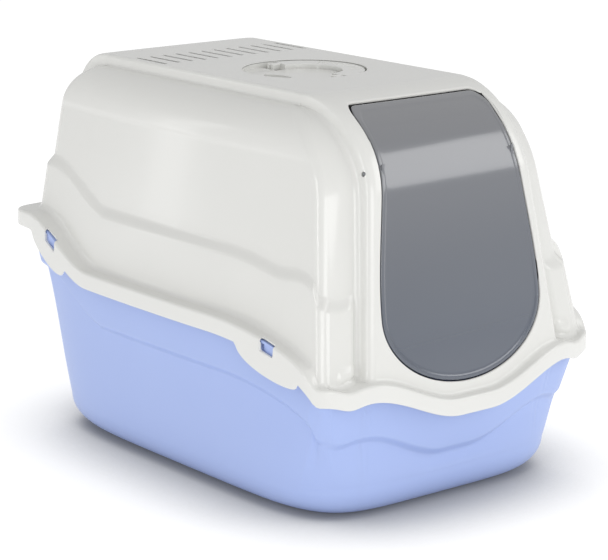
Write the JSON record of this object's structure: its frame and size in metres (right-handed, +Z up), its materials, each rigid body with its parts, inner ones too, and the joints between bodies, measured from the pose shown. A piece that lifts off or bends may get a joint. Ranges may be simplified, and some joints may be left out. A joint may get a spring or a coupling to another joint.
{
  "type": "hooded cat litter box",
  "caption": "Hooded cat litter box with a deep tray, lift-off hood, tinted swing door, folding carry handle and a vented carbon filter holder.",
  "frame": {"origin": "on the floor, under the middle of the box's bounding box", "axes": "+X to the right seen from the door side, -Y is the door side, +Z up"},
  "size_m": [0.39, 0.574, 0.41],
  "materials": {
    "tray_plastic": "satin moulded polypropylene, pale periwinkle blue",
    "hood_plastic": "glossy moulded polypropylene, warm off-white",
    "door_plastic": "smoky translucent moulded plastic",
    "handle_plastic": "satin moulded plastic, off-white",
    "inner_plastic": "matt moulded plastic, off-white",
    "filter_fleece": "carbon-loaded fleece"
  },
  "bodies": {
    "tray": {"tray": "tray_plastic"},
    "hood": {"hood": "hood_plastic", "filter_holder": "inner_plastic", "carbon_filter": "filter_fleece"},
    "door": {"door_flap": "door_plastic"},
    "handle": {"carry_handle": "handle_plastic"}
  },
  "joints": [
    {"name": "hood_lift", "type": "slide", "parent": "tray", "child": "hood", "axis": [0, 0, 1], "range_m": [0, 0.3]},
    {"name": "door_swing", "type": "hinge", "parent": "hood", "child": "door", "pos_m": [0, -0.233, 0.344], "axis": [1, 0, 0], "range_deg": [-75, 70]},
    {"name": "handle_fold", "type": "hinge", "parent": "hood", "child": "handle", "pos_m": [0, -0.013, 0.4046], "axis": [0, -1, 0], "range_deg": [0, 90]}
  ]
}
